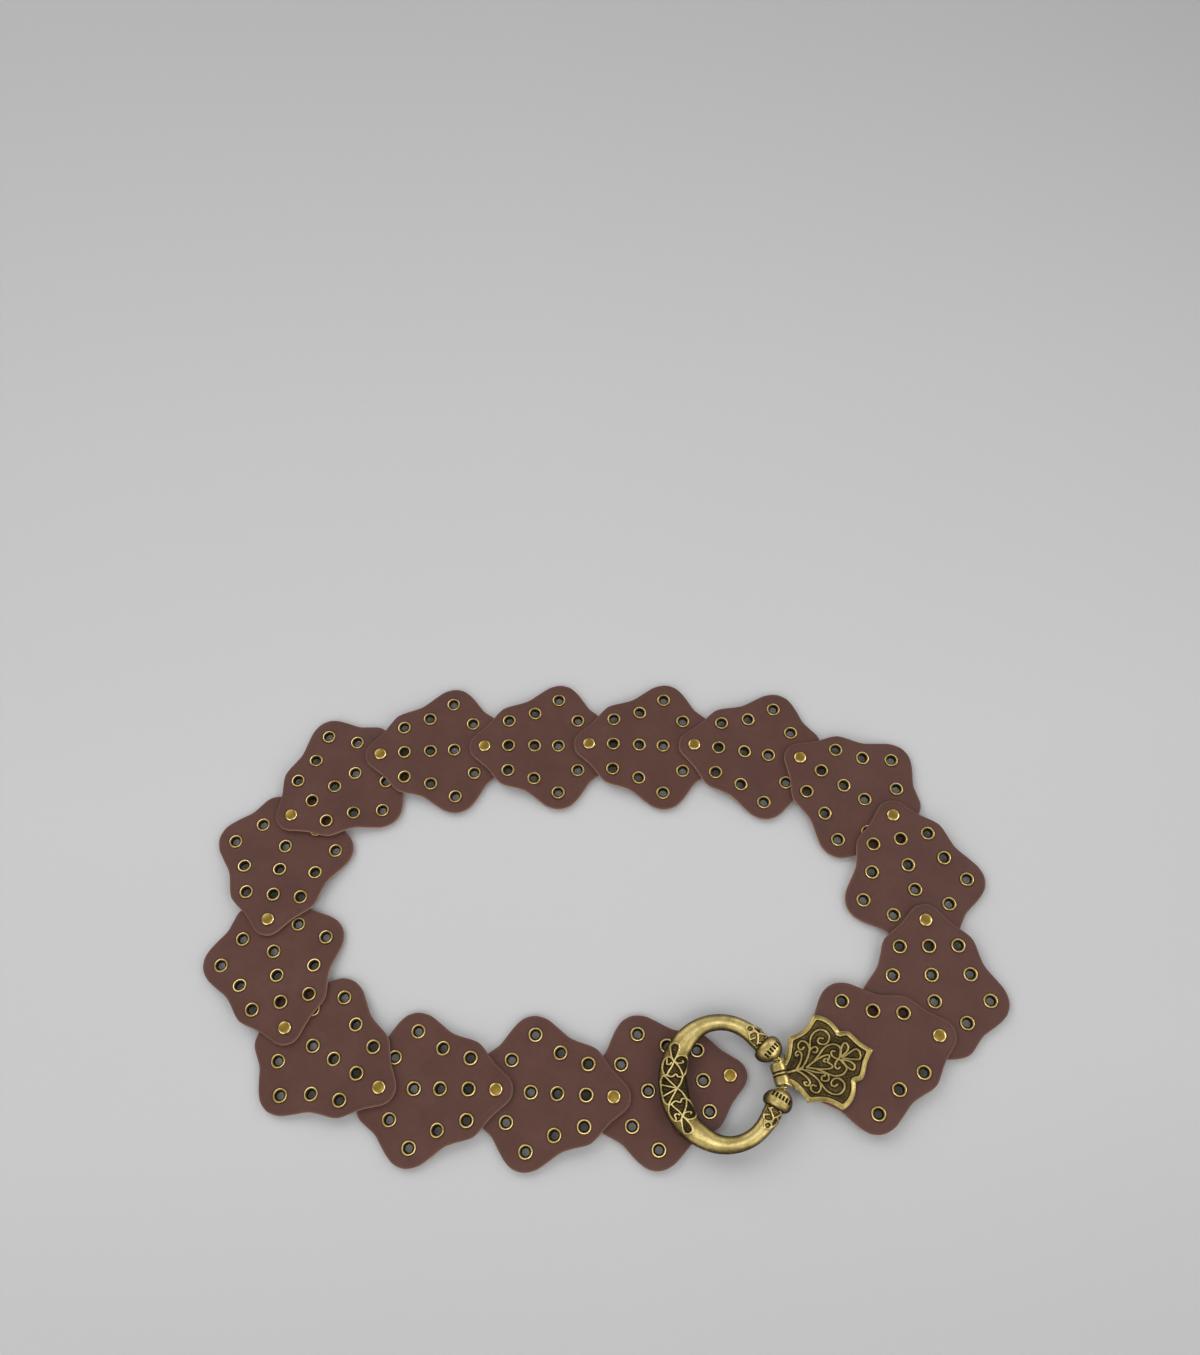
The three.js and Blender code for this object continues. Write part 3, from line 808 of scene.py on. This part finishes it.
hingeForm = {
    "along": 84.3,  # hinge line, along the buckle panel
    "knuckle": [  # half of the closed section across the knuckle: aside, radius
        (0, 4.08), (0.34, 3.92), (0.62, 3.56), (1.0, 3.66), (1.6, 3.86), (3.0, 3.93), (4.5, 3.9),
        (5.1, 3.78), (5.4, 3.5), (5.5, 3.2), (5.5, 2.4)],
    "bar": [  # half of the hinge bar between the ring's knobs
        (6.4, 1.5), (6.5, 2.5), (6.8, 2.95), (7.2, 2.95), (7.5, 2.5), (7.6, 1.5), (9, 1.5), (9, 0)],
    "knuckleRadius": 3.93,  # of its plain stretches
    "knuckleSides": 56,
    "knuckleTones": [(0.4, 0.60), (1.2, 0.14), (9.0, 0.52)],  # bead, its grooves and the rest, by aside
    "barSides": 28,
    "barTone": 0.5,
    "strip": [(78.2, 6.62), (79.2, 6.72), (79.8, 6.9), (80.6, 8.2), (81.6, 9.5), (82.8, 10.45),
              (84.3, 10.95)],  # along, height
    "stripHalf": [(78.2, 9.6), (79.0, 8.7), (80.2, 7.6), (81.4, 6.7), (83.0, 5.9), (84.3, 5.5)],
    "stripSteps": (36, 44),  # along and aside
    "stripThickness": 1.0,
    "climb": (79.4, 2.0, 0.25),  # start and length of the climb, and the knuckle's share before it
    "lip": (0.86, 0.94),  # raised border of the strip, in shares of its half width
    "lipStart": (79.0, 80.5),
    "lipEnd": (83, 84),
    "lipHeight": 0.22,
    "beadHalf": 0.3,  # in shares of the half width
    "stripTones": {"plain": 0.52, "foot": -0.38, "bead": 1.2, "lip": 0.16},
    "footFade": 0.6,
}


# Both halves of a table of (aside, value)
def bothHalves(half):
    return [(-aside, value) for aside, value in reversed(half) if aside] + half


# Profile for a spin about the hinge line
def hingeProfile(half):
    return [(radius, aside) for aside, radius in bothHalves(half)]


quarterTurn = Matrix.Rotation(math.pi / 2, 4, "X")  # lays a spun piece along the hinge line


def makeShieldPlate():
    bm = bmesh.new()
    makePlateDisc(bm)
    addParts(bm, [hingeKnuckle(), hingeStrip(), *platePosts()])
    place = panelPlace(buckle) @ Matrix.Translation((0, plateForm["aside"], 0))
    finishPiece("shieldPlate", bm, place, "cast_brass", ["shield_plate"], sharp=50)


def hingeKnuckle():
    form = hingeForm
    bm = bmesh.new()
    spinProfile(bm, hingeProfile(form["knuckle"]), form["knuckleSides"], closed=True)
    bm.transform(Matrix.Translation((form["along"], 0, levels["hinge"])) @ quarterTurn)
    setTones(bm, "relief", [
        next(tone for reach, tone in form["knuckleTones"] if abs(vert.co.y) <= reach) for vert in bm.verts])
    return bm


# Strip that climbs from the plate onto the knuckle and takes its section over
def hingeStrip():
    form, tones = hingeForm, hingeForm["stripTones"]
    bm = bmesh.new()
    alongSteps, asideSteps = form["stripSteps"]
    bmesh.ops.create_grid(bm, x_segments=alongSteps, y_segments=asideSteps, size=1)
    first, last = form["strip"][0][0], form["strip"][-1][0]
    asides, radii = zip(*bothHalves(form["knuckle"][:-1]))
    share, aside = getCoordinates(bm)[:, :2].T
    x = first + (share + 1) / 2 * (last - first)
    section = np.interp(aside * max(asides), asides, radii) - form["knuckleRadius"]
    lip = smoothStep(*form["lip"], np.abs(aside)) * smoothStep(*form["lipStart"], x)
    lip *= 1 - smoothStep(*form["lipEnd"], x)
    start, length, least = form["climb"]
    taken = least + (1 - least) * np.clip((x - start) / length, 0, 1)
    height = smoothTable(x, form["strip"]) + section * taken + form["lipHeight"] * lip
    setCoordinates(bm, np.column_stack([x, aside * smoothTable(x, form["stripHalf"]), height]))
    tone = tones["plain"] + tones["foot"] * bell(x, start, form["footFade"]) + tones["lip"] * lip
    tone += tones["bead"] * section * (np.abs(aside) < form["beadHalf"])
    setTones(bm, "relief", np.clip(tone, 0, 1))
    bmesh.ops.solidify(bm, geom=bm.faces, thickness=form["stripThickness"])
    bmesh.ops.recalc_face_normals(bm, faces=bm.faces)
    return bm


postForm = {
    "head": [(0, -0.6), (2.8, -0.6), (3.0, -0.4), (2.9, 0), (1.5, 0)],  # radius, height from its top
    "gap": 0.3,  # between the head and the leather
    "top": 6.1,
    "sides": 24,
}


# The two posts that hold the plate, peened under the leather
def platePosts():
    parts = []
    under = levels["high"] - postForm["gap"]
    profile = [(radius, under + height) for radius, height in postForm["head"]]
    profile += [(profile[-1][0], postForm["top"]), (0, postForm["top"])]
    for along, aside in panelForm["platePosts"]:
        post = plainTurning(profile, postForm["sides"], 0.0)
        post.transform(Matrix.Translation((along, aside - plateForm["aside"], 0)))
        parts.append(post)
    return parts


makeShieldPlate()
print("shield plate made")


# Buckle ring

ringForm = {
    "turn": -6.0,  # degrees on its loose hinge
    "reach": 27.2,  # from the hinge line to the ring's centre
    "stations": [  # angle from the ornament's middle, outer and inner radius, half height, roundness
        (0, 33.8, 19.2, 3.3, 0.66), (14, 33.9, 19.8, 3.3, 0.66), (26, 34.0, 20.6, 3.3, 0.66),
        (36, 34.0, 21.5, 3.4, 0.68), (46, 34.0, 22.5, 3.5, 0.80), (60, 34.0, 23.7, 3.6, 0.90),
        (75, 33.9, 25.1, 3.7, 0.94), (90, 33.4, 25.3, 3.7, 0.94), (105, 32.7, 24.6, 3.7, 0.90),
        (120, 31.9, 23.3, 3.8, 0.82), (133, 31.5, 22.0, 4.0, 0.80), (141.8, 31.2, 21.6, 4.1, 0.85),
        (143.2, 31.4, 21.4, 4.3, 0.9), (144.2, 32.4, 20.7, 5.1, 0.95), (145.8, 33.4, 19.9, 5.9, 0.97),
        (148.5, 34.1, 19.4, 6.4, 1.0), (151.5, 34.2, 19.3, 6.5, 1.0), (155, 33.9, 19.5, 6.45, 1.0),
        (158, 33.2, 20.1, 6.1, 1.0), (160.5, 32.2, 21.0, 5.4, 1.0), (162.6, 30.9, 22.3, 4.3, 1.0),
        (164.0, 29.3, 23.8, 2.8, 1.0), (164.6, 28.0, 25.0, 1.6, 1.0)],
    "steps": [  # share of the sweep's steps by angle: crowded where there is relief
        (0.0, 0), (0.21, 47), (0.26, 118), (0.37, 142), (0.5, 164.6)],
    "sweepSteps": 560,
    "sectionSides": 128,
    "topShare": 0.74,  # share of a section's sides that lie on its upper half
    "upperEdge": 6,  # how fast the relief grows from the section's sides
    "line": (0.25, 0.58),  # half width of a raised line at its top and at its foot
    "lineHeight": 0.62,
    "fieldDepth": 0.34,
    "fieldEdge": (0.1, 0.9),  # distances from a line between which a field sinks
    "grain": (0.6, 0.10),  # size and height of the stippled fields
    "paintedLightAndShade": (0.21, 0.40, 1.5),  # painted shade: tone at the sides; painted highlight: what the top adds, and how narrow it is
    "ornament": (42, 50, 0.135),  # angles where the darker ground of the ornament ends, and how dark
    "knob": (143, 147, 0.035),  # angles where the darker knob starts, and how dark
    "lineFoot": (0.75, 0.22),  # middle and fade of the dark bands at a line and at the knob's collar
    "collar": (143.3, 0.8),
    "tones": {"ridge": 0.05, "sunken": -0.25, "foot": -0.10, "grain": 0.27, "notch": -0.54, "collar": -0.34},
    "growth": (0.016, 100, 135),  # how much wider the bow is, and the angles where that ends
    "postHeld": 1,  # the middle eyelet of the fastening panel that holds the hook post
    "post": [(0, 0.3), (1.2, 0.3), (1.6, 0.6), (1.7, 1.2), (1.7, 7.0), (0, 7.0)],  # radius, height
    "postSides": 24,
}

# Raised lines of one half of the ring, on the ornament and next to the knob: angle, radius
ringLines = {
    "teardrop": [
        (29, 27.8), (30.5, 29.0), (35, 30.8), (40, 32.3), (44, 31.2), (45.2, 29.4), (42.5, 28.0),
        (37.5, 27.3), (30, 27.4)],
    "upperLobe": [(28, 27.6), (30.6, 29.7), (28.6, 31.6), (24, 32.4), (18, 32.2), (13, 30.6)],
    "upperCurl": [(28.6, 31.6), (26, 30.8), (23.6, 30.6), (24, 29), (26, 28.6)],
    "lowerLobe": [
        (28, 27.6), (32, 27.2), (36, 26), (38.5, 23.8), (37, 21.9), (32, 20.9), (25, 20.6),
        (19, 20.9), (14.2, 21.8)],
    "lowerCurl": [(28, 27.0), (27.4, 25.8), (29, 24.2), (31, 23.2), (32.4, 23.8)],
    "heartUpper": [(28, 27.6), (22.8, 27.8), (17.5, 28.9), (13.5, 29.6)],
    "heartLower": [(28, 27.2), (24.5, 24.6), (19.5, 22.8), (14.2, 21.8)],
    "heartEnd": [(13.5, 29.6), (12.3, 27.2), (15.5, 25.3), (12.7, 23.9), (14.2, 21.8)],
    "fanOuter": [(0, 24.8), (12.5, 30.6), (13.5, 29.6)],
    "fanInner": [(0, 24.8), (5, 32.4)],
    "fanRim": [(0, 32.7), (4.5, 32.6), (9, 32.6), (12.5, 31.4), (13, 30.6)],
    "fanLower": [(0, 24.8), (5.5, 22.8), (14.2, 21.8)],
    "loop": [
        (120.6, 28.2), (121.4, 29.3), (124, 30.0), (127, 29.6), (128, 28.5), (126.6, 27.4),
        (123.6, 26.8), (121.4, 27.3)],
    "outerEdge": [(124, 30.0), (129.4, 30.8), (133.2, 31.0), (135.2, 30.4), (136.2, 29.4)],
    "stem": [(127.8, 28.8), (130.5, 28.7), (134, 28.5)],
    "hook": [(134, 28.5), (137.4, 29.6), (140, 30.3), (141.8, 30.1), (142.3, 29.2)],
    "inward": [(133.6, 28.4), (135.1, 27.2), (137.5, 25.8), (138.8, 24.7), (139.6, 24.1)],
    "leaf": [(138.8, 24.9), (140.6, 25.0), (141.8, 25.6)],
    "innerEdge": [(123.6, 26.8), (125.8, 25.4), (127.8, 24.4), (129.8, 23.9)],
    "link": [(125.8, 25.6), (127.4, 27.2), (130.2, 28.4)],
    "bar": [(129.8, 23.9), (132, 25.0), (133.6, 25.9)],
}
closedLines = ("teardrop", "loop")

# Fields that are sunken between the lines
sunkenFields = {
    "teardrop": [(29, 27.8), (35, 30.8), (40, 32.3), (44, 31.2), (45.2, 29.4), (42.5, 28.0), (37.5, 27.3)],
    "heart": [
        (28, 27.6), (30.6, 29.7), (28.6, 31.6), (24, 32.4), (18, 32.2), (13, 31.5), (4.5, 32.6),
        (0, 32.7), (0, 24.8), (5.5, 22.8), (14.2, 21.8), (19, 20.9), (25, 20.6), (32, 20.9),
        (37, 21.9), (38.5, 23.8), (36, 26), (32, 27.2)],
    "fan": [(0, 24.8), (5.5, 22.8), (14.2, 21.8), (14, 20.2), (0, 19.8)],
    "besideKnob": [
        (119.6, 28.4), (121.5, 30.2), (124.6, 30.4), (129, 31.0), (134, 31.0), (140, 30.8), (143, 30),
        (143.2, 23.4), (138, 23.2), (131.5, 23.4), (125, 26.6), (121.6, 26.6)],
}

# Row of slots across a knob, from one polar spot to the other
notchForm = {
    "from": (152.6, 33.4),
    "to": (158.2, 22.6),
    "count": 6,
    "halfLength": 1.35,
    "endFade": 0.35,
    "halfWidth": (0.24, 0.08),  # in shares of the spacing, and what it widens by at a slot's ends
    "wallFade": (0.10, 0.08),  # inside and outside that width
    "depth": 0.75,
}


def fromPolar(points):
    return [(r * math.cos(math.radians(a)), r * math.sin(math.radians(a))) for a, r in points]


# 1 in a slot of the knob and 0 outside it
def knobNotches(points):
    form = notchForm
    start, end = (np.array(spot) for spot in fromPolar([form["from"], form["to"]]))
    way = end - start
    length = np.hypot(*way)
    way = way / length
    along = (points - start) @ way / length * form["count"]
    across = np.abs((points - start) @ np.array((-way[1], way[0])))
    inRow = (along > 0) & (along < form["count"])
    half, (narrow, wider), (inner, outer) = form["halfLength"], form["halfWidth"], form["wallFade"]
    width = narrow + wider * np.clip(across / half, 0, 1) ** 2
    slot = 1 - smoothStep(width - inner, width + outer, np.abs(along % 1 - 0.5))
    return inRow * slot * (1 - smoothStep(half - form["endFade"], half, across))


# Height over the ring's plain surface, and what it adds to the tone
def ringRelief(points, angles):
    form, tones = ringForm, ringForm["tones"]
    folded = np.column_stack([points[:, 0], np.abs(points[:, 1])])  # both halves share one chart
    turned = np.abs(angles)
    fromLine = lineDistance(
        folded, [chartLine(fromPolar(line), name in closedLines) for name, line in ringLines.items()])
    fields = np.zeros(len(points), bool)
    for field in sunkenFields.values():
        fields |= insideField(folded, chartLine(fromPolar(field), closed=True, perSpan=3))
    ridge = 1 - smoothStep(*form["line"], fromLine)
    notch = knobNotches(folded)
    size, rough = form["grain"]
    grain = stipple(points, size) * fields * (1 - ridge)
    depth = form["fieldDepth"] * fields * smoothStep(*form["fieldEdge"], fromLine)
    height = form["lineHeight"] * ridge - depth + rough * grain - notchForm["depth"] * notch
    sunken = fields * (1 - ridge)
    tone = tones["ridge"] * ridge + tones["grain"] * grain + tones["notch"] * notch
    tone += (tones["sunken"] + tones["foot"] * bell(fromLine, *form["lineFoot"])) * sunken
    tone += tones["collar"] * bell(turned, *form["collar"])
    first, last, dark = form["ornament"]
    tone -= dark * (1 - ridge) * (1 - smoothStep(first, last, turned))
    first, last, dark = form["knob"]
    tone -= dark * smoothStep(first, last, turned)
    return height, tone


# Sections swept round the ring: outer, inner, half height and roundness at each angle
def ringSections(angles):
    stationAngles, *columns = zip(*ringForm["stations"])
    return [smoothTable(np.abs(angles), list(zip(stationAngles, column))) for column in columns]


def makeRingBody():
    form = ringForm
    bm = bmesh.new()
    bmesh.ops.create_grid(bm, x_segments=form["sweepSteps"], y_segments=form["sectionSides"], size=0.5)
    share, around = getCoordinates(bm)[:, :2].T  # of the sweep, and round the section
    around = around + 0.5
    shares, turns = zip(*form["steps"])
    angles = np.sign(share) * np.interp(np.abs(share), shares, turns)
    turn = np.radians(angles)
    top = form["topShare"]
    section = np.where(around < top, around / top, 1 + (around - top) / (1 - top)) * math.pi
    out, up = np.cos(section), np.sin(section)
    outer, inner, tall, roundness = ringSections(angles)
    reach = (np.abs(out) ** (2 / roundness) + np.abs(up) ** (2 / roundness)) ** (-roundness / 2)
    radius = (outer + inner) / 2 + (outer - inner) / 2 * reach * out
    height, relief = ringRelief(np.column_stack([radius * np.cos(turn), radius * np.sin(turn)]), angles)
    facing = np.clip(up * form["upperEdge"], 0, 1)
    normal = np.column_stack([out / (outer - inner) * 2, up / tall])
    normal /= np.linalg.norm(normal, axis=1)[:, None]
    wider, first, last = form["growth"]
    radius *= 1 + wider * (1 - smoothStep(first, last, np.abs(angles)))
    radius += height * facing * normal[:, 0]
    level = levels["hinge"] + tall * reach * up + height * facing * normal[:, 1]
    setCoordinates(bm, np.column_stack([radius * np.cos(turn), radius * np.sin(turn), level]))
    # Painted highlight along the top of the ring's tube and painted shade on its sides, by how far each point
    # faces up
    side, crown, power = form["paintedLightAndShade"]
    paintedLightAndShade = side + crown * np.clip(up, 0, 1) ** power
    setTones(bm, "relief", np.clip(paintedLightAndShade + relief * (facing > 0), 0, 1))
    bmesh.ops.remove_doubles(bm, verts=bm.verts, dist=1e-3)
    closeShell(bm)
    return bm


def makeBuckleRing():
    form = ringForm
    place = (panelPlace(buckle) @ Matrix.Translation((hingeForm["along"], plateForm["aside"], 0))
             @ Matrix.Rotation(math.radians(form["turn"]), 4, "Z")
             @ Matrix.Translation((form["reach"], 0, 0)))
    bar = plainTurning(hingeProfile(hingeForm["bar"]), hingeForm["barSides"], hingeForm["barTone"])
    bar.transform(Matrix.Translation((-form["reach"], 0, levels["hinge"])) @ quarterTurn)
    along, aside = panelForm["innerEyelets"][form["postHeld"]]
    spot = place.inverted() @ panelPlace(0) @ Vector((along, aside, 0))
    post = plainTurning(form["post"], form["postSides"], 0.0)
    post.transform(Matrix.Translation((spot.x, spot.y, 0)))
    bm = makeRingBody()
    addParts(bm, [bar, post])
    finishPiece("buckleRing", bm, place, "cast_brass", ["buckle_ring"], sharp=60)


makeBuckleRing()
print("buckle ring made")


# Floor and light

studioForm = {
    "floorTone": (0.43, 0.43, 0.433),
    "floorSize": 6.0,
    "floorRoughness": 0.85,
    # Painted falloff of light: the floor's grey darkens away from the middle, across and then in depth
    "paintedSideFalloff": [(-0.6, 0.88), (-0.40, 0.945), (-0.30, 0.965), (-0.17, 0.985), (0.0, 1.0), (0.16, 0.99),
                  (0.30, 0.965), (0.41, 0.93), (0.52, 0.88), (0.7, 0.82)],
    "paintedDepthFalloff": [(-0.45, 0.70), (-0.20, 0.89), (-0.10, 0.965), (0.08, 1.0), (0.34, 0.93), (0.75, 0.75),
                   (1.2, 0.62)],
    "worldTone": 0.33,
    "lights": {  # direction seen from above, elevation, distance, size and power, aimed at the belt
        "frontRight": (-45, 33, 1.7, 1.5, 16.5),
        "frontLeft": (-135, 33, 1.7, 1.5, 16.5),
        "backRight": (50, 34, 2.3, 2.0, 18.0),
        "backLeft": (130, 34, 2.3, 2.0, 35.0),
        "topCard": (-90, 80, 1.3, 0.6, 4.2),
        "rightCard": (4, 24, 1.4, 0.7, 13.5),
        "leftCard": (192, 28, 1.4, 0.6, 2.2),
    },
}


# Grey with a painted pool of light: it darkens away from the middle, by a table along each axis
def makePaleFloor(form):
    material, tree, shader = newMaterial("paleFloor")
    axes = addNode(tree, "ShaderNodeSeparateXYZ", {"Vector": objectPlace(tree)}).outputs
    colour = (*form["floorTone"], 1)
    for axis, table in (("X", form["paintedSideFalloff"]), ("Y", form["paintedDepthFalloff"])):
        first, last = table[0][0], table[-1][0]
        share = addNode(tree, "ShaderNodeMapRange", {
            "Value": axes[axis], "From Min": first, "From Max": last}).outputs["Result"]
        tones = ramp(tree, share, [((spot - first) / (last - first), tone) for spot, tone in table])
        colour = mixColour(tree, 1.0, tones, colour, "MULTIPLY")
    setInputs(tree, shader, {"Base Color": colour, "Roughness": form["floorRoughness"]})
    return material


def makeFloor(form):
    bm = bmesh.new()
    bmesh.ops.create_grid(bm, x_segments=1, y_segments=1, size=form["floorSize"] / 2)
    floor = bpy.data.objects.new("floor", meshFrom(bm, "floor"))
    bpy.context.collection.objects.link(floor)
    floor.data.materials.append(makePaleFloor(form))


def makeLight(name, turn, up, away, size, power):
    data = bpy.data.lights.new(name, "AREA")
    data.shape = "DISK"
    data.size = size
    data.energy = power
    lamp = bpy.data.objects.new(name, data)
    bpy.context.collection.objects.link(lamp)
    turn, up = math.radians(turn), math.radians(up)
    way = Vector((math.cos(turn) * math.cos(up), math.sin(turn) * math.cos(up), math.sin(up)))
    lamp.matrix_world = Matrix.Translation(way * away) @ way.to_track_quat("Z", "Y").to_matrix().to_4x4()
    lamp.visible_diffuse = "Card" not in name  # a card only shows in the metal


def makeStudio(form):
    bpy.context.scene.view_settings.view_transform = "Standard"
    makeFloor(form)
    for name, light in form["lights"].items():
        makeLight(name, *light)
    world = bpy.data.worlds.new("studio")
    world.use_nodes = True
    world.node_tree.nodes["Background"].inputs["Color"].default_value = (*[form["worldTone"]] * 3, 1)
    bpy.context.scene.world = world


makeStudio(studioForm)
print("studio lit")
